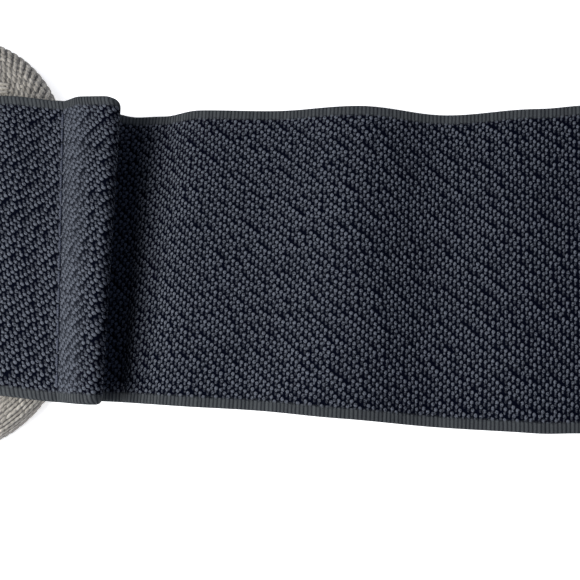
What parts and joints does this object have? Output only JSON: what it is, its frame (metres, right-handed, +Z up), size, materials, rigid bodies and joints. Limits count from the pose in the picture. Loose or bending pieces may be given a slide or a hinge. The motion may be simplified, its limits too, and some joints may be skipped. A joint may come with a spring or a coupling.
{
  "type": "elastic stretch belt with corded buckle",
  "caption": "Elastic waist belt lying open and face down: wide elastic strap sewn back round the bar of a rounded square buckle covered in plaited cord, with a plain flat hook at the far end.",
  "frame": {"origin": "on the surface that the belt lies on, under the middle of the open belt", "axes": "+X along the belt from the buckle ring to the hook, +Y across the strap, +Z up, away from the surface; the side that touches the wearer faces +Z"},
  "size_m": [0.69, 0.078, 0.0107],
  "materials": {
    "cord_cover": "fine plaited cord, matt with soft highlights",
    "bar_steel": "plain, satin",
    "elastic": "woven elastic with raised nubs, matt blue-black",
    "hook_steel": "plain, satin"
  },
  "bodies": {
    "root": {"buckle_ring": "cord_cover", "centre_bar": "bar_steel", "strap": "elastic", "hook_clasp": "hook_steel"}
  },
  "joints": []
}
